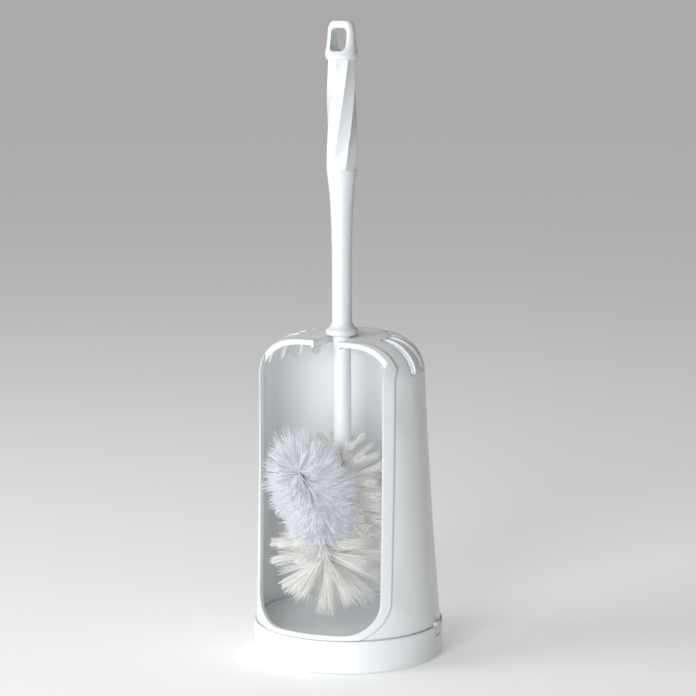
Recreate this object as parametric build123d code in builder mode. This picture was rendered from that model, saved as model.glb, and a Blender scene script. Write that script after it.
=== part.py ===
"""Toilet brush and holder: a round base tray, an open-fronted hood and a hanging brush.

Millimetres. +Z is up, the open front faces -Y, and the origin is the centre of the tray's
underside. The hood's axis leans forward a little, so its front is upright and its back slopes.
"""

import os
from math import atan, cos, pi, radians, sin

from build123d import *

os.makedirs("parts", exist_ok=True)

# Overall
GAP = 0.3  # clearance between pieces that come apart
WALL = 2.0  # moulded wall of the hood
LEAN = 0.045  # forward lean of the hood's axis, mm per mm of height

# Base tray
TRAY_RADIUS = 62.5
SKIRT_HEIGHT = 21.5
SKIRT_WALL = 1.9
SPIGOT_RADIUS = 58.0  # the inner ring that the hood fits over
SPIGOT_WALL = 2.0
SPIGOT_TOP = 24.0
GROOVE_FLOOR = 4.0  # underside of the groove between skirt and spigot
DISH_DEPTH = 5.5
DISH_EDGE_DROP = 1.5  # the dish's edge under the spigot's top
PLATE = 2.0
DISH_RADIUS = SPIGOT_RADIUS - SPIGOT_WALL / 2
RIB_COUNT = 8
RIB_THICKNESS = 1.6
RIB_RING = 12.0
RIB_BOTTOM = 2.0
GROUND_ROUNDING = 1.2
SKIRT_TOP_ROUNDING = 0.6

# Hood
RIM_Z = SKIRT_HEIGHT + GAP  # the hood's shoulder stands just over the skirt's top edge
SLEEVE_BOTTOM = GROOVE_FLOOR + PLATE + 1.0
SLEEVE_RADIUS = TRAY_RADIUS - SKIRT_WALL - GAP  # the hood's plain ring inside the skirt
SLEEVE_OVERLAP = 1.5  # the sleeve runs this far up into the hood's wall
HOOD_TOP = 190.0  # along the leaning axis, from the rim
HOOD_RADII = ((-4.0, 61.2), (79.0, 56.5), (162.0, 53.5))  # axial height and outer radius
SHOULDER = 24.0
CROWN = 0.8  # rise of the domed top over its edge

# Front opening, its bead and the notch that the brush hangs in
OPENING_HALF = 43.5
OPENING_BOTTOM = 25.0
OPENING_CORNER = 20.0
OPENING_Y = -33.0  # the opening starts here on the top and runs forward
BEAD_WIDTH = 5.0
BEAD_RAISE = 1.1
NOTCH_HALF = 8.5
NOTCH_LIP_DEPTH = 5.0
NOTCH_LIP_WALL = 1.8

# Vent slots over the shoulders, and the two locating lugs
SLOT_AZIMUTHS = (85.0, 101.5, 118.0, 134.5)  # from the front, on each side
SLOT_WIDTH = 6.2
SLOT_BOTTOM = 168.5  # axial height of the lower, rounded end
SLOT_INNER_RADIUS = 30.0
LUG_AZIMUTH = 97.0  # from the front; the second lug is opposite
LUG_RADIUS = 62.4
LUG_WIDTH = 8.0
LUG_BOTTOM = 15.0
LUG_TOP = 24.0
LUG_CLEARANCE = 0.6
BEYOND = 150.0  # a length that runs clear past everything

# Brush
AXIS_Y = -HOOD_TOP * sin(atan(LEAN))  # the brush hangs at the centre of the hood's top
COLLAR_Z = RIM_Z + HOOD_TOP * cos(atan(LEAN)) + 0.9
COLLAR_RADIUS = 10.7
COLLAR_HEIGHT = 3.6
COLLAR_FLARE = 6.0
COLLAR_ROUNDING = 1.4
SHAFT_RADIUS = 6.5
STEM_RADIUS = 5.9
STEM_END = 134.0
STEM_END_ROUNDING = 2.0
SOCKET_RADIUS = 4.6
SOCKET_DEPTH = 20.0
TAPER_START = 262.0
TAPER_RADII = ((6.75, 278.0), (7.5, 297.0), (8.6, 310.0))  # radius and height up the taper
GRIP_START = 319.5
GRIP_RADIUS = 9.8
RIDGES = 7
FLUTE_DEPTH = 0.125  # depth of a full flute against the crest's radius
TWIST_PER_MM = 0.95  # degrees, right-handed
GRIP_SECTIONS = (  # height, crest radius, concavity of the flutes (0 is round)
    (GRIP_START, GRIP_RADIUS, 0.05),
    (323.5, 9.75, 0.75),
    (330.0, 9.7, 1.0),
    (342.0, 9.7, 1.0),
    (354.0, 9.65, 1.0),
    (366.0, 9.5, 1.0),
    (378.0, 9.15, 1.0),
    (391.5, 8.9, 1.0),
)
EYE_SECTIONS = (  # height, width, thickness, corner radius
    (390.6, 19.4, 19.4, 9.65),
    (392.6, 21.0, 20.4, 10.15),
    (395.0, 20.9, 17.0, 8.0),
    (400.0, 19.6, 10.6, 4.8),
    (406.0, 18.6, 8.2, 3.6),
    (411.5, 17.0, 7.4, 3.2),
    (414.2, 13.8, 6.2, 2.7),
    (415.0, 10.0, 4.2, 1.9),
)
EYE_HOLE = (11.2, 14.8, 3.4)  # width, height, corner radius
EYE_HOLE_Z = 403.2

# Twisted wire and its bristles
WIRE_RADIUS = 2.4
WIRE_BORE_DEPTH = 24.0
BEND_Z = 66.0  # the bend's lowest centreline
FRONT_LEG_Y = AXIS_Y - 29.5
FRONT_LEG_TOP = 108.0
FRONT_TIP = (-16.0, -42.0, 127.0)
BEND_RADIUS = 14.4
TIP_BEND_RADIUS = 10.0
COARSE_RADIUS = 38.0
COARSE_Z = BEND_Z + 2.0
REAR_RADIUS = 30.0
REAR_TOP = 127.0
REAR_ROUNDING = 15.0
FINE_RADIUS = 19.0
FINE_Z = 104.0
TIP_RADIUS = 22.0
HEAD_LIMIT = 59.0  # every bristle solid stays inside this radius about the tray's axis

hood_frame = Plane(
    origin=(0, 0, RIM_Z),
    x_dir=(1, 0, 0),
    z_dir=(0, -sin(atan(LEAN)), cos(atan(LEAN))),
)
hood_section = Plane(origin=hood_frame.origin, x_dir=(1, 0, 0), z_dir=-hood_frame.y_dir)
hood_axis = Axis(hood_frame.origin, hood_frame.z_dir)
brush_section = Plane(origin=(0, AXIS_Y, 0), x_dir=(1, 0, 0), z_dir=(0, -1, 0))
brush_axis = Axis((0, AXIS_Y, 0), (0, 0, 1))


def radial_plane(azimuth, frame, height):
    """A plane on the axis of frame that faces outward at an azimuth from the front."""
    angle = radians(azimuth)
    outward = frame.x_dir * sin(angle) - frame.y_dir * cos(angle)
    return Plane(
        origin=frame.origin + frame.z_dir * height,
        x_dir=frame.z_dir.cross(outward),
        z_dir=outward,
    )


def hood_half_profile(inset):
    """Half of the hood's section, inset all round from the outer surface."""
    low, middle, high = [(radius - inset, height) for height, radius in HOOD_RADII]
    top = HOOD_TOP - inset
    edge_top = top - CROWN
    with BuildSketch(Plane.XY) as profile:
        with BuildLine():
            ThreePointArc(low, middle, high)
            Line(high, (high[0], edge_top))
            TangentArc((0, top), (high[0], edge_top), tangent=(1, 0))
            Line((0, top), (0, low[1]))
            Line((0, low[1]), low)
        make_face()
        corner = profile.vertices().sort_by(Axis.X)[-3:].sort_by(Axis.Y)[-1]
        fillet(corner, SHOULDER - inset)
    return profile.sketch


def opening_profile(margin):
    """The front opening in the XZ plane, grown by margin, and left open above the hood."""
    half = OPENING_HALF + margin
    bottom = OPENING_BOTTOM - margin
    with BuildSketch(Plane.XZ) as profile:
        with Locations((0, bottom)):
            Rectangle(2 * half, BEYOND + HOOD_TOP, align=(Align.CENTER, Align.MIN))
        fillet(profile.vertices().group_by(Axis.Z)[0], OPENING_CORNER + margin)
    return profile.sketch


def hood_solid(inset):
    """The hood as a solid of revolution, inset all round, cut level at the rim."""
    with BuildPart() as solid:
        add(hood_section * hood_half_profile(inset))
        revolve(axis=hood_axis)
        split(bisect_by=Plane.XY.offset(RIM_Z))
    return solid.part


def opening_cutter(margin):
    """The block that opens the hood's front, grown by margin."""
    with BuildPart() as cutter:
        add(opening_profile(margin).moved(Location((0, OPENING_Y + margin, 0))))
        extrude(amount=BEYOND, dir=(0, -1, 0))
    return cutter.part


def notch_prism(margin, bottom):
    """The keyhole-shaped notch from the brush's axis to the front, grown by margin."""
    with BuildPart() as prism:
        with BuildSketch(Plane.XY.offset(bottom)):
            with Locations((0, AXIS_Y)):
                Circle(NOTCH_HALF + margin)
            with Locations((0, AXIS_Y - 30)):
                Rectangle(2 * (NOTCH_HALF + margin), 60)
        extrude(amount=40)
    return prism.part


def vent_cutter(azimuth):
    """A radial slot with a round lower end on the wall and a round inner end on the top."""
    side = radial_plane(azimuth, hood_frame, 0)
    with BuildPart() as cutter:
        with BuildSketch(side.offset(SLOT_INNER_RADIUS)):
            with Locations((0, SLOT_BOTTOM + SLOT_WIDTH / 2 + 25)):
                Rectangle(SLOT_WIDTH, 50)
            with Locations((0, SLOT_BOTTOM + SLOT_WIDTH / 2)):
                Circle(SLOT_WIDTH / 2)
        extrude(amount=45)
        inner_edges = cutter.edges().filter_by(hood_axis).sort_by(Axis(side.origin, side.z_dir))[:2]
        fillet(inner_edges, SLOT_WIDTH / 2 - 0.05)
    return cutter.part


def notch_lip():
    """The wall that hangs down around the notch, under the hood's skin."""
    with BuildPart() as lip:
        add(notch_prism(NOTCH_LIP_WALL, RIM_Z + HOOD_TOP - NOTCH_LIP_DEPTH))
        add(hood_solid(0), mode=Mode.INTERSECT)
    return lip.part


def dish_lens(depth):
    """Everything over the tray's dished plate, down to a depth under its surface."""
    edge = SPIGOT_TOP - DISH_EDGE_DROP - depth
    with BuildPart() as lens:
        with BuildSketch(Plane.XZ):
            with BuildLine():
                TangentArc((0, edge - DISH_DEPTH), (DISH_RADIUS, edge), tangent=(1, 0))
                Polyline((DISH_RADIUS, edge), (DISH_RADIUS, 40), (0, 40), (0, edge - DISH_DEPTH))
            make_face()
        revolve(axis=Axis.Z)
    return lens.part


def dished_plate():
    """The plate that closes the tray, dished so that drips stay in it."""
    with BuildPart() as plate:
        with BuildSketch(Plane.XY.offset(10)):
            Circle(DISH_RADIUS)
        extrude(amount=15)
        add(dish_lens(0), mode=Mode.SUBTRACT)
        add(dish_lens(PLATE), mode=Mode.INTERSECT)
    return plate.part


def plate_ribs():
    """Radial ribs and a centre ring, from just over the ground up into the plate."""
    with BuildPart() as ribs:
        with BuildSketch(Plane.XY.offset(RIB_BOTTOM)):
            with PolarLocations((RIB_RING + DISH_RADIUS) / 2, RIB_COUNT):
                Rectangle(DISH_RADIUS - RIB_RING - 1, RIB_THICKNESS)
            Circle(RIB_RING + RIB_THICKNESS / 2)
            Circle(RIB_RING - RIB_THICKNESS / 2, mode=Mode.SUBTRACT)
        extrude(amount=SPIGOT_TOP)
        add(dish_lens(PLATE / 2), mode=Mode.SUBTRACT)
    return ribs.part


def fluted_wire(crest, concavity, turn):
    """A closed outline of ridges joined by arcs: concavity 0 is a circle, over 0.9 is hollow."""
    valley = crest * (1 - concavity * FLUTE_DEPTH)
    step = 2 * pi / RIDGES
    with BuildLine() as outline:
        for ridge in range(RIDGES):
            angles = [radians(turn) + step * (ridge + part) for part in (0, 0.5, 1)]
            radii = (crest, valley, crest)
            ThreePointArc(*[(r * cos(t), r * sin(t)) for r, t in zip(radii, angles)])
    return outline.wire()


# ---------------------------------------------------------------- base tray
with BuildPart() as base_tray:
    with BuildSketch(Plane.XY):
        Circle(TRAY_RADIUS)
        Circle(TRAY_RADIUS - SKIRT_WALL, mode=Mode.SUBTRACT)
        Circle(SPIGOT_RADIUS)
        Circle(SPIGOT_RADIUS - SPIGOT_WALL, mode=Mode.SUBTRACT)
    extrude(amount=SKIRT_HEIGHT)
    with BuildSketch(Plane.XY.offset(GROOVE_FLOOR)):
        Circle(TRAY_RADIUS - SKIRT_WALL / 2)
        Circle(SPIGOT_RADIUS - SPIGOT_WALL / 2, mode=Mode.SUBTRACT)
    extrude(amount=PLATE)
    with BuildSketch(Plane.XY.offset(SKIRT_HEIGHT - 2)):
        Circle(SPIGOT_RADIUS)
        Circle(SPIGOT_RADIUS - SPIGOT_WALL, mode=Mode.SUBTRACT)
    extrude(amount=SPIGOT_TOP - SKIRT_HEIGHT + 2)
    # The dished plate, and stiffening ribs under it that meet a ring at the centre.
    add(dished_plate())
    add(plate_ribs())
    rims = base_tray.edges().filter_by(GeomType.CIRCLE)
    fillet(rims.filter_by_position(Axis.Z, -0.1, 0.1).sort_by(SortBy.RADIUS)[-1], GROUND_ROUNDING)
    rims = base_tray.edges().filter_by(GeomType.CIRCLE)
    top_rims = rims.filter_by_position(Axis.Z, SKIRT_HEIGHT - 0.1, SKIRT_HEIGHT + 0.1)
    fillet(top_rims.sort_by(SortBy.RADIUS)[-2:], SKIRT_TOP_ROUNDING)
    # Open-topped notches in the skirt for the hood's two locating lugs.
    with BuildSketch(Plane.XY.offset(LUG_BOTTOM - GAP)):
        Rectangle(BEYOND, LUG_WIDTH + 2 * LUG_CLEARANCE, rotation=LUG_AZIMUTH - 90)
        Circle(SPIGOT_RADIUS + 1, mode=Mode.SUBTRACT)
    extrude(amount=20, mode=Mode.SUBTRACT)
base_tray.part.label = "base_tray"
export_step(base_tray.part, "parts/base_tray.step")

# ---------------------------------------------------------------- hood
with BuildPart() as hood:
    # The raised bead is a thicker skin that is kept only around the opening.
    add(hood_solid(-BEAD_RAISE))
    add(opening_cutter(BEAD_WIDTH), mode=Mode.INTERSECT)
    add(hood_solid(0))
    add(hood_solid(WALL), mode=Mode.SUBTRACT)
    add(notch_lip())
    add(notch_prism(0, RIM_Z + HOOD_TOP - 20), mode=Mode.SUBTRACT)
    add(opening_cutter(0), mode=Mode.SUBTRACT)
    for azimuth in SLOT_AZIMUTHS:
        add(vent_cutter(azimuth), mode=Mode.SUBTRACT)
        add(vent_cutter(-azimuth), mode=Mode.SUBTRACT)
    # The plain sleeve inside the skirt.
    with BuildSketch(Plane.XY.offset(SLEEVE_BOTTOM)):
        Circle(SLEEVE_RADIUS)
        Circle(SPIGOT_RADIUS + GAP, mode=Mode.SUBTRACT)
    extrude(amount=RIM_Z + SLEEVE_OVERLAP - SLEEVE_BOTTOM)
    # Two locating lugs drop into the skirt's notches.
    with BuildSketch(Plane.XY.offset(LUG_BOTTOM)):
        Rectangle(BEYOND, LUG_WIDTH, rotation=LUG_AZIMUTH - 90)
        Circle(LUG_RADIUS, mode=Mode.INTERSECT)
        Circle(SLEEVE_RADIUS - 1, mode=Mode.SUBTRACT)
    extrude(amount=LUG_TOP - LUG_BOTTOM)
hood.part.label = "hood"
export_step(hood.part, "parts/hood.step")

# ---------------------------------------------------------------- handle
with BuildPart() as handle:
    with BuildSketch(brush_section):
        with BuildLine():
            Line((0, COLLAR_Z), (COLLAR_RADIUS, COLLAR_Z))
            rim = Line((COLLAR_RADIUS, COLLAR_Z), (COLLAR_RADIUS, COLLAR_Z + COLLAR_HEIGHT))
            flare_top = (SHAFT_RADIUS, COLLAR_Z + COLLAR_HEIGHT + COLLAR_FLARE)
            TangentArc(flare_top, rim @ 1, tangent=(0, -1))
            Line(flare_top, (SHAFT_RADIUS, TAPER_START))
            Spline(
                (SHAFT_RADIUS, TAPER_START),
                *TAPER_RADII,
                (GRIP_RADIUS, GRIP_START),
                tangents=((0, 1), (0.12, 1)),
            )
            Line((GRIP_RADIUS, GRIP_START), (0, GRIP_START))
            Line((0, GRIP_START), (0, COLLAR_Z))
        make_face()
    revolve(axis=brush_axis)
    rims = handle.edges().filter_by(GeomType.CIRCLE).filter_by_position(
        Axis.Z, COLLAR_Z - 0.1, COLLAR_Z + COLLAR_HEIGHT + 0.1
    )
    fillet(rims, COLLAR_ROUNDING)
    for height, crest, concavity in GRIP_SECTIONS:
        with BuildSketch(Plane(origin=(0, AXIS_Y, height))):
            add(fluted_wire(crest, concavity, (height - GRIP_START) * TWIST_PER_MM))
            make_face()
    loft()
    for height, width, thickness, corner in EYE_SECTIONS:
        with BuildSketch(Plane(origin=(0, AXIS_Y, height))):
            RectangleRounded(width, thickness, corner)
    loft()
    with BuildSketch(Plane(origin=(0, AXIS_Y, EYE_HOLE_Z), x_dir=(1, 0, 0), z_dir=(0, -1, 0))):
        RectangleRounded(*EYE_HOLE)
    extrude(amount=15, both=True, mode=Mode.SUBTRACT)
    with BuildSketch(Plane(origin=(0, AXIS_Y, COLLAR_Z))):
        Circle(SOCKET_RADIUS)
    extrude(amount=SOCKET_DEPTH, mode=Mode.SUBTRACT)
handle.part.label = "handle"
export_step(handle.part, "parts/handle.step")

# ---------------------------------------------------------------- stem
with BuildPart() as stem:
    with BuildSketch(Plane(origin=(0, AXIS_Y, STEM_END))):
        Circle(STEM_RADIUS)
    extrude(amount=COLLAR_Z - STEM_END)
    fillet(stem.edges().group_by(Axis.Z)[0], STEM_END_ROUNDING)
    with BuildSketch(Plane(origin=(0, AXIS_Y, COLLAR_Z))):
        Circle(SOCKET_RADIUS)
    extrude(amount=SOCKET_DEPTH - 0.5)
    with BuildSketch(Plane(origin=(0, AXIS_Y, STEM_END))):
        Circle(WIRE_RADIUS)
    extrude(amount=WIRE_BORE_DEPTH, mode=Mode.SUBTRACT)
stem.part.label = "stem"
export_step(stem.part, "parts/stem.step")

# ---------------------------------------------------------------- twisted wire
with BuildPart() as wire_core:
    with BuildLine() as wire_path:
        FilletPolyline(
            (0, AXIS_Y, STEM_END + WIRE_BORE_DEPTH),
            (0, AXIS_Y, BEND_Z),
            (0, FRONT_LEG_Y, BEND_Z),
            (0, FRONT_LEG_Y, FRONT_LEG_TOP),
            FRONT_TIP,
            radius=(BEND_RADIUS, BEND_RADIUS, TIP_BEND_RADIUS),
        )
    with BuildSketch(Plane(origin=(0, AXIS_Y, STEM_END + WIRE_BORE_DEPTH), z_dir=(0, 0, -1))):
        Circle(WIRE_RADIUS)
    sweep()
wire_core.part.label = "wire_core"
export_step(wire_core.part, "parts/wire_core.step")

# ---------------------------------------------------------------- bristles
with BuildPart() as bristles_coarse:
    with Locations((0, (AXIS_Y + FRONT_LEG_Y) / 2, COARSE_Z)):
        Sphere(COARSE_RADIUS)
    with Locations((0, AXIS_Y, COARSE_Z)):
        Cylinder(REAR_RADIUS, REAR_TOP - COARSE_Z, align=(Align.CENTER, Align.CENTER, Align.MIN))
    fillet(bristles_coarse.edges().group_by(Axis.Z)[-1], REAR_ROUNDING)
    Cylinder(HEAD_LIMIT, 400, mode=Mode.INTERSECT)
bristles_coarse.part.label = "bristles_coarse"
export_step(bristles_coarse.part, "parts/bristles_coarse.step")

with BuildPart() as bristles_fine:
    with Locations((0, FRONT_LEG_Y, FINE_Z)):
        Sphere(FINE_RADIUS)
    with Locations(FRONT_TIP):
        Sphere(TIP_RADIUS)
    Cylinder(HEAD_LIMIT, 400, mode=Mode.INTERSECT)
    add(bristles_coarse.part, mode=Mode.SUBTRACT)
bristles_fine.part.label = "bristles_fine"
export_step(bristles_fine.part, "parts/bristles_fine.step")
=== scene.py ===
"""Looks for the toilet brush and its holder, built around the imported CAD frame.

Metres. The CAD hood, tray, handle and stem are shown as they are, with plastic materials. The
brush head is built here: a pair of twisted wires with coarse and fine filaments set in them.
"""

import math
import random

import bpy
from mathutils import Matrix, Vector


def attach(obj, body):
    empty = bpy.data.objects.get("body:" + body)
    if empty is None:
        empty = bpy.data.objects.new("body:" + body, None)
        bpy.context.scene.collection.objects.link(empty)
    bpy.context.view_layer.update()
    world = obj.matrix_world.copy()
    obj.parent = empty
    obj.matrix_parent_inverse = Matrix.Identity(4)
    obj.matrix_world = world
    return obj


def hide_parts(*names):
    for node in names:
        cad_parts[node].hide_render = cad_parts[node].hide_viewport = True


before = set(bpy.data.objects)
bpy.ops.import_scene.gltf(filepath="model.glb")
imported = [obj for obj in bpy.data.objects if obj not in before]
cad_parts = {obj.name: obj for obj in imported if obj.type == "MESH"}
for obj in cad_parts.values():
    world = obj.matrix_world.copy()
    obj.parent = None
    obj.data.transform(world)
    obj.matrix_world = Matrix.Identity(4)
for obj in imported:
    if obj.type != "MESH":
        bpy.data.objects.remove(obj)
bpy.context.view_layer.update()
random.seed(7)

MM = 0.001

# ------------------------------------------------------------------ the wire
AXIS_Y = -8.54 * MM  # the stem and the rear leg
FRONT_Y = AXIS_Y - 29.5 * MM  # the front leg
BEND_Z = 66 * MM  # the corners of the bend, before they are rounded
WIRE_TOP = 158 * MM  # the end of the stem's bore
LEG_TOP = 108 * MM  # where the front leg turns towards its tip
TIP = Vector((-16 * MM, -42 * MM, 127 * MM))
BEND_RADIUS = 14.4 * MM
TIP_RADIUS = 10 * MM
ARC_STEPS = 24
STEP = 0.6 * MM  # spacing of the points along the wire
STRAND_RADIUS = 1.15 * MM
STRAND_PITCH = 9 * MM
STRAND_SIDES = 8

# ------------------------------------------------------------------ the brush head
HEAD_RADIUS = 61 * MM  # filament tips stay inside this radius about the tray's axis
HEAD_HALF = 42 * MM  # and inside the opening's width
HEAD_BOTTOM = 32 * MM  # and off the tray
SHORTEST = 6 * MM  # no filament is cut shorter than this
CUT = 1.5 * MM
ROOT_OUT = 0.8 * MM  # a filament starts this far from the wire's path
ROOT_SPREAD = 1 * MM
SEGMENTS = 4
SIDES = 3
TAPER = 0.35
RIPPLE_TURN = 21  # radians of ripple along a filament
RIPPLE_SHIFT = 4000  # radians of shift for each metre of its length

# Spread in degrees round the wire, along and curl as shares of the length.
COARSE = {"count": 50, "spread": 10, "along": 0.06, "thickness": 0.30 * MM,
          "wave": 0.25 * MM, "curl": 0.04}
COARSE_TOP = 131.5 * MM  # on the rear leg
COARSE_END = 88 * MM  # on the front leg
COARSE_GAP = 1.8 * MM
COARSE_TURN = math.radians(43)
COARSE_LENGTH = 37 * MM
COARSE_FRONT_LENGTH = 34 * MM
BACK_OF_BEND = AXIS_Y - 22 * MM
RISE_BOTTOM = 102 * MM  # above this the filaments on the rear leg get shorter
RISE_HEIGHT = 29 * MM
RISE_CUT = 15 * MM

FINE = {"count": 10, "spread": 6, "along": 0.05, "thickness": 0.24 * MM,
        "wave": 0.12 * MM, "curl": 0.09}
FINE_BOTTOM = 84 * MM  # on the front leg
FINE_TUFTS = 7  # at each point of the wire
FINE_OUTWARD = Vector((0.05, -0.93, 0.36)).normalized()  # what the rosette at the tip faces
FINE_LENGTH = 21.5 * MM
FINE_GROWTH = 8.5 * MM
GROWN_AT = 0.6  # shares of the way along the fine part
TURN_AT = 0.35
SPLAY_AT = 0.5
FULL_SPLAY = 1.3

# ------------------------------------------------------------------ camera
CAM_AZIMUTH = 25.78
CAM_ELEVATION = 9.37
CAM_DISTANCE = 1.7258
CAM_FOCAL_PX = 2642.5
CAM_ROLL = -0.09
CAM_SIDE = 0.00013
CAM_TARGET_Z = 0.20226
IMAGE_PX = 696
SENSOR_WIDTH = 36.0  # in millimetres

# ------------------------------------------------------------------ stage
FLOOR_SIZE = 40
FLOOR_DROP = 0.3 * MM
FLOOR_GLOW = 0.2
ROOM_LEFT, ROOM_RIGHT = 0.36, 0.10


def look_camera():
    """The camera at the photograph's viewing angle."""
    azimuth, elevation = math.radians(CAM_AZIMUTH), math.radians(CAM_ELEVATION)
    right = Vector((math.cos(azimuth), math.sin(azimuth), 0))
    back = Vector((math.sin(azimuth) * math.cos(elevation),
                   -math.cos(azimuth) * math.cos(elevation), math.sin(elevation)))
    up = back.cross(right)
    target = right * CAM_SIDE + Vector((0, 0, CAM_TARGET_Z))
    data = bpy.data.cameras.new("camera")
    camera = bpy.data.objects.new("camera", data)
    bpy.context.collection.objects.link(camera)
    data.sensor_width = SENSOR_WIDTH
    data.lens = CAM_FOCAL_PX / IMAGE_PX * data.sensor_width
    data.clip_start = 0.05
    rotation = Matrix((right, up, back)).transposed().to_4x4()
    roll = Matrix.Rotation(math.radians(CAM_ROLL), 4, "Z")
    camera.matrix_world = Matrix.Translation(target + back * CAM_DISTANCE) @ rotation @ roll
    bpy.context.scene.camera = camera


def area_light(name, place, aim, size, power, colour=(1, 1, 1)):
    data = bpy.data.lights.new(name, "AREA")
    data.shape = "RECTANGLE"
    data.size, data.size_y = size
    data.energy = power
    data.color = colour
    light = bpy.data.objects.new(name, data)
    light.location = place
    light.rotation_euler = (Vector(aim) - Vector(place)).to_track_quat("-Z", "Y").to_euler()
    bpy.context.collection.objects.link(light)


def lay_floor():
    bpy.ops.mesh.primitive_plane_add(size=FLOOR_SIZE, location=(0, 0, -FLOOR_DROP))
    floor = bpy.context.object
    floor.name = "floor"
    paper = bpy.data.materials.new("paper")
    paper.use_nodes = True
    inputs = paper.node_tree.nodes["Principled BSDF"].inputs
    inputs["Base Color"].default_value = (0.88, 0.88, 0.88, 1)
    inputs["Roughness"].default_value = 0.9
    inputs["Emission Color"].default_value = (1, 1, 1, 1)
    inputs["Emission Strength"].default_value = FLOOR_GLOW
    floor.data.materials.append(paper)


def light_world():
    """A white background, in a dim, warm room that gets darker towards the right."""
    world = bpy.data.worlds.new("world")
    world.use_nodes = True
    tree = world.node_tree
    shown = tree.nodes["Background"]
    shown.inputs["Color"].default_value = (1, 1, 1, 1)
    shown.inputs["Strength"].default_value = 1.0
    room = tree.nodes.new("ShaderNodeBackground")
    room.inputs["Color"].default_value = (1.0, 0.975, 0.945, 1)
    heading = tree.nodes.new("ShaderNodeTexCoord")
    split = tree.nodes.new("ShaderNodeSeparateXYZ")
    falloff = tree.nodes.new("ShaderNodeMapRange")
    falloff.inputs["From Min"].default_value = -1
    falloff.inputs["From Max"].default_value = 1
    falloff.inputs["To Min"].default_value = ROOM_LEFT
    falloff.inputs["To Max"].default_value = ROOM_RIGHT
    tree.links.new(heading.outputs["Generated"], split.inputs[0])
    tree.links.new(split.outputs["X"], falloff.inputs["Value"])
    tree.links.new(falloff.outputs["Result"], room.inputs["Strength"])
    path = tree.nodes.new("ShaderNodeLightPath")
    mix = tree.nodes.new("ShaderNodeMixShader")
    tree.links.new(path.outputs["Is Camera Ray"], mix.inputs[0])
    tree.links.new(room.outputs[0], mix.inputs[1])
    tree.links.new(shown.outputs[0], mix.inputs[2])
    tree.links.new(mix.outputs[0], tree.nodes["World Output"].inputs["Surface"])
    bpy.context.scene.world = world


# ------------------------------------------------------------------ materials
class Shader:
    """A Principled material with helpers that hang procedural nodes on it."""

    def __init__(self, name, colour, roughness):
        self.material = bpy.data.materials.new(name)
        self.material.use_nodes = True
        self.tree = self.material.node_tree
        self.bsdf = self.tree.nodes["Principled BSDF"]
        self.bsdf.inputs["Base Color"].default_value = (*colour, 1)
        self.bsdf.inputs["Roughness"].default_value = roughness
        self.place = self.tree.nodes.new("ShaderNodeTexCoord").outputs["Object"]

    def node(self, kind, **values):
        node = self.tree.nodes.new(kind)
        for key, value in values.items():
            node.inputs[key.replace("_", " ")].default_value = value
        return node

    def link(self, output, name):
        """Link an output to one of the Principled shader's own inputs."""
        self.tree.links.new(output, self.bsdf.inputs[name])

    def noise(self, scale, detail):
        node = self.node("ShaderNodeTexNoise", Scale=scale, Detail=detail)
        self.tree.links.new(self.place, node.inputs["Vector"])
        return node.outputs["Fac"]

    def span(self, value, low, high):
        """The middle of a noise's values spread over a range."""
        node = self.node("ShaderNodeMapRange", From_Min=0.3, From_Max=0.7, To_Min=low, To_Max=high)
        self.tree.links.new(value, node.inputs["Value"])
        return node.outputs["Result"]

    def blend(self, value, first, second):
        ramp = self.tree.nodes.new("ShaderNodeValToRGB")
        ramp.color_ramp.elements[0].color = (*first, 1)
        ramp.color_ramp.elements[1].color = (*second, 1)
        self.tree.links.new(value, ramp.inputs["Fac"])
        return ramp.outputs["Color"]

    def bump(self, height, distance, strength, under=None):
        node = self.node("ShaderNodeBump", Strength=strength, Distance=distance)
        self.tree.links.new(height, node.inputs["Height"])
        if under is not None:
            self.tree.links.new(under, node.inputs["Normal"])
        return node.outputs["Normal"]


def plastic(name, colour, roughness, rounding):
    """Glossy moulded plastic: soft edges, a faint mould texture and uneven gloss."""
    shader = Shader(name, colour, roughness)
    tint = tuple(c * k for c, k in zip(colour, (0.99, 0.992, 0.993)))
    shader.link(shader.blend(shader.noise(14, 3), tint, colour), "Base Color")
    shader.link(shader.span(shader.noise(45, 3), roughness - 0.01, roughness + 0.02), "Roughness")
    edge = shader.node("ShaderNodeBevel", Radius=rounding)
    edge.samples = 6
    ripple = shader.bump(shader.noise(22, 1), 0.3 * MM, 0.05, edge.outputs["Normal"])
    shader.link(shader.bump(shader.noise(1600, 2), 0.03 * MM, 0.12, ripple), "Normal")
    shader.bsdf.inputs["IOR"].default_value = 1.49
    return shader.material


def metal(name):
    """Drawn, galvanised wire, with dull spots and uneven gloss."""
    shader = Shader(name, (0.60, 0.61, 0.62), 0.36)
    shader.bsdf.inputs["Metallic"].default_value = 1.0
    spots = shader.blend(shader.noise(420, 5), (0.48, 0.49, 0.50), (0.70, 0.71, 0.72))
    shader.link(spots, "Base Color")
    shader.link(shader.span(shader.noise(700, 3), 0.28, 0.50), "Roughness")
    shader.link(shader.bump(shader.noise(2500, 3), 0.03 * MM, 0.3), "Normal")
    return shader.material


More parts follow.
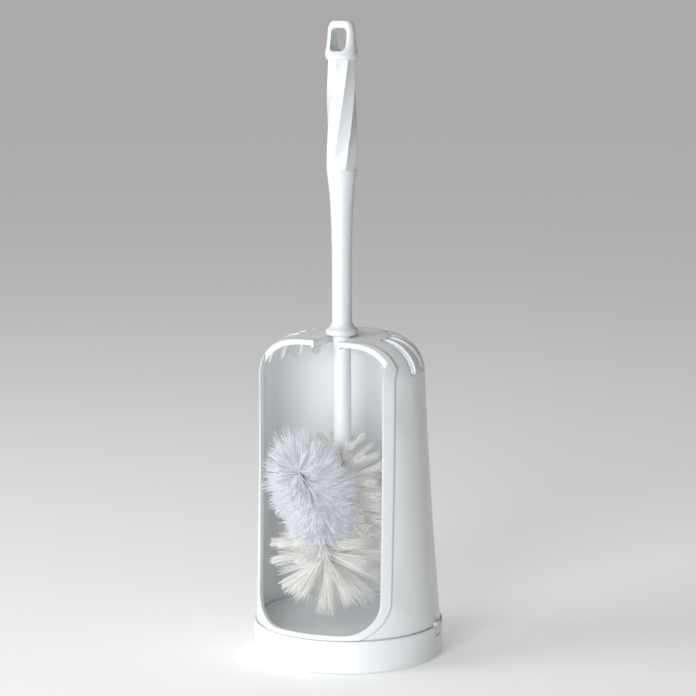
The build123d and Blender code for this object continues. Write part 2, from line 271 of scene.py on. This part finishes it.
def filament(name, pale, dark, roughness, translucency):
    """Nylon filament: each one its own shade, letting some light through."""
    shader = Shader(name, pale, roughness)
    # This stands in for light that is scattered many times between pale filaments.
    shader.bsdf.inputs["Emission Color"].default_value = (*pale, 1)
    shader.bsdf.inputs["Emission Strength"].default_value = 0.15
    own = shader.tree.nodes.new("ShaderNodeNewGeometry").outputs["Random Per Island"]
    mixed = shader.blend(own, dark, pale)
    shader.link(mixed, "Base Color")
    shader.link(shader.span(shader.noise(900, 2), roughness - 0.08, roughness + 0.08), "Roughness")
    shader.link(shader.bump(shader.noise(3000, 2), 0.02 * MM, 0.3), "Normal")
    links = shader.tree.links
    through = shader.tree.nodes.new("ShaderNodeBsdfTranslucent")
    links.new(mixed, through.inputs["Color"])
    mix = shader.tree.nodes.new("ShaderNodeMixShader")
    mix.inputs[0].default_value = translucency
    links.new(shader.bsdf.outputs[0], mix.inputs[1])
    links.new(through.outputs[0], mix.inputs[2])
    links.new(mix.outputs[0], shader.tree.nodes["Material Output"].inputs["Surface"])
    return shader.material


# ------------------------------------------------------------------ the wire's path
def rounded(points, radii):
    """Evenly spaced points along a polyline whose corners are rounded."""
    path = [points[0]]
    for before, corner, after, radius in zip(points, points[1:], points[2:], radii):
        toward, away = (before - corner).normalized(), (after - corner).normalized()
        half = toward.angle(away) / 2
        reach = radius / math.tan(half)
        centre = corner + (toward + away).normalized() * (radius / math.sin(half))
        start, end = corner + toward * reach - centre, corner + away * reach - centre
        for i in range(ARC_STEPS + 1):
            path.append(centre + start.slerp(end, i / ARC_STEPS).normalized() * radius)
    path.append(points[-1])
    even, left = [path[0].copy()], 0.0
    for a, b in zip(path, path[1:]):
        length = (b - a).length
        at = STEP - left
        while at < length:
            even.append(a.lerp(b, at / length))
            at += STEP
        left = length - (at - STEP)
    return even


def tangent_at(path, i):
    return (path[min(i + 1, len(path) - 1)] - path[max(i - 1, 0)]).normalized()


def frames(path):
    """Each point with its tangent and a side direction carried along without twisting."""
    result, side = [], Vector((1, 0, 0))
    for i, point in enumerate(path):
        tangent = tangent_at(path, i)
        side = (side - tangent * side.dot(tangent)).normalized()
        result.append((point, tangent, side))
    return result


def turned(tangent, side, angle):
    return side * math.cos(angle) + tangent.cross(side) * math.sin(angle)


WIRE = frames(rounded([
    Vector((0, AXIS_Y, WIRE_TOP)), Vector((0, AXIS_Y, BEND_Z)), Vector((0, FRONT_Y, BEND_Z)),
    Vector((0, FRONT_Y, LEG_TOP)), TIP,
], (BEND_RADIUS, BEND_RADIUS, TIP_RADIUS)))


def on_front_leg(point):
    return point.y < FRONT_Y + 0.5 * MM


def on_rear_leg(point):
    return point.y > AXIS_Y - 1 * MM


class Soup:
    """Tubes gathered into one mesh."""

    def __init__(self):
        self.points, self.faces = [], []

    def tube(self, path, radii, sides):
        first = len(self.points)
        side = Vector((0.31, 0.77, 0.55))
        for i, point in enumerate(path):
            tangent = tangent_at(path, i)
            side = (side - tangent * side.dot(tangent)).normalized()
            for k in range(sides):
                away = turned(tangent, side, 2 * math.pi * k / sides)
                self.points.append(point + away * radii[i])
        for i in range(len(path) - 1):
            for k in range(sides):
                a, b = first + i * sides + k, first + i * sides + (k + 1) % sides
                self.faces.append((a, b, b + sides, a + sides))
        self.faces.append(tuple(first + k for k in reversed(range(sides))))
        last = first + (len(path) - 1) * sides
        self.faces.append(tuple(last + k for k in range(sides)))

    def object(self, name, material):
        mesh = bpy.data.meshes.new(name)
        mesh.from_pydata([tuple(p) for p in self.points], [], self.faces)
        mesh.polygons.foreach_set("use_smooth", [True] * len(mesh.polygons))
        mesh.materials.append(material)
        piece = bpy.data.objects.new(name, mesh)
        bpy.context.collection.objects.link(piece)
        return piece


def strand(phase):
    """One of the two wires, wound about the path."""
    path = []
    for i, (point, tangent, side) in enumerate(WIRE):
        angle = phase + 2 * math.pi * i * STEP / STRAND_PITCH
        path.append(point + turned(tangent, side, angle) * STRAND_RADIUS)
    return path


# ------------------------------------------------------------------ bristles
def fits(point):
    return (math.hypot(point.x, point.y) < HEAD_RADIUS and abs(point.x) < HEAD_HALF
            and point.z > HEAD_BOTTOM)


def bristle(soup, root, direction, length, bend, wave, thickness):
    """One filament that bends a little, cut short where it would touch the hood or tray."""
    while length > SHORTEST and not fits(root + direction * length + bend * length):
        length -= CUT
    across = direction.orthogonal().normalized()
    path, radii = [], []
    for i in range(SEGMENTS + 1):
        t = i / SEGMENTS
        ripple = across * (wave * math.sin(t * RIPPLE_TURN + length * RIPPLE_SHIFT))
        path.append(root + direction * (length * t) + bend * (length * t * t) + ripple)
        radii.append(thickness * (1 - TAPER * i / SEGMENTS))
    soup.tube(path, radii, SIDES)


def tuft(soup, place, tangent, side, angle, length, lean, kind):
    """A bunch of filaments that leave the wire together."""
    spread, along, curl = kind["spread"], kind["along"], kind["curl"]
    for _ in range(kind["count"]):
        own = angle + math.radians(random.uniform(-spread, spread))
        away = turned(tangent, side, own)
        direction = (away + tangent * (lean + random.uniform(-along, along))).normalized()
        bend = Vector([random.uniform(-curl, curl) for _ in range(3)])
        root = place + tangent * random.uniform(-1, 1) * ROOT_SPREAD + away * ROOT_OUT
        bristle(soup, root, direction, length * random.uniform(0.93, 1.03), bend,
                kind["wave"], kind["thickness"])


def coarse_head():
    """Flat, separate bunches from the rear leg round the bend and up the front leg."""
    soup = Soup()
    start = next(i for i, (p, _, _) in enumerate(WIRE) if p.z < COARSE_TOP)
    stop = next(i for i, (p, _, _) in enumerate(WIRE) if on_front_leg(p) and p.z > COARSE_END)
    gap = int(round(COARSE_GAP / STEP))
    for k, i in enumerate(range(start, stop, gap)):
        point, tangent, side = WIRE[i]
        for half in (0, math.pi):
            angle = k * COARSE_TURN + half + random.uniform(-0.12, 0.12)
            rise = max(0.0, (point.z - RISE_BOTTOM) / RISE_HEIGHT) if on_rear_leg(point) else 0.0
            behind = point.y > BACK_OF_BEND
            length = COARSE_LENGTH - RISE_CUT * rise if behind else COARSE_FRONT_LENGTH
            lean = random.uniform(-0.12, 0.12) - rise * rise
            tuft(soup, point, tangent, side, angle, length, lean, COARSE)
    return soup


def fine_head():
    """Soft filaments round the front leg, splayed into a rosette at the hooked tip."""
    soup = Soup()
    start = next(i for i, (p, _, _) in enumerate(WIRE) if on_front_leg(p) and p.z > FINE_BOTTOM)
    rows = WIRE[start:]
    for k, (point, tangent, side) in enumerate(rows):
        done = k / (len(rows) - 1)
        turn = max(0.0, (done - TURN_AT) / (1 - TURN_AT))
        axis = tangent.lerp(FINE_OUTWARD, min(1.0, turn * 1.15)).normalized()
        flat = (side - axis * side.dot(axis)).normalized()
        splay = FULL_SPLAY * (max(0.0, done - SPLAY_AT) / (1 - SPLAY_AT)) ** 2
        length = FINE_LENGTH + FINE_GROWTH * min(1.0, done / GROWN_AT)
        for _ in range(FINE_TUFTS):
            angle = random.uniform(0, 2 * math.pi)
            own_length = length * random.uniform(0.80, 1.0)
            lean = splay * random.uniform(0.2, 1.3) + random.uniform(-0.45, 0.45)
            tuft(soup, point, axis, flat, angle, own_length, lean, FINE)
    return soup


look_camera()
lay_floor()
light_world()
area_light("key", (-1.1, -1.0, 0.75), (0, 0, 0.18), (0.9, 1.1), 11, (0.97, 0.99, 1.0))
area_light("front", (0.12, -1.6, 0.42), (0, 0, 0.10), (0.6, 0.8), 17, (0.96, 0.985, 1.0))
area_light("top", (-0.2, 0.1, 1.4), (0, 0, 0.2), (0.7, 0.7), 3.0)

white = plastic("white_plastic", (0.86, 0.88, 0.892), 0.24, 1.6 * MM)
# The handle and stem get a darker copy of the white plastic, dimmed so the lights don't burn out
# the handle: painted shade.
shade_dimmed_grip = plastic("handle_plastic", (0.74, 0.76, 0.775), 0.26, 0.6 * MM)
for node in ("base_tray", "hood", "handle", "stem"):
    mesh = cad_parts[node].data
    mesh.materials.clear()
    mesh.materials.append(white if node in ("base_tray", "hood") else shade_dimmed_grip)

wires = Soup()
for phase in (0, math.pi):
    wires.tube(strand(phase), [STRAND_RADIUS] * len(WIRE), STRAND_SIDES)
wire = wires.object("twisted_wire", metal("galvanised_wire"))
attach(wire, "brush")
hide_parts("wire_core")

coarse_nylon = filament("coarse_bristle", (0.98, 0.98, 0.97), (0.84, 0.835, 0.815), 0.40, 0.40)
coarse = coarse_head().object("coarse_filaments", coarse_nylon)
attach(coarse, "brush")
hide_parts("bristles_coarse")

fine_nylon = filament("fine_bristle", (0.97, 0.98, 1.0), (0.80, 0.82, 0.87), 0.34, 0.42)
fine = fine_head().object("fine_filaments", fine_nylon)
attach(fine, "brush")
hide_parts("bristles_fine")

bpy.context.scene.view_settings.view_transform = "Standard"
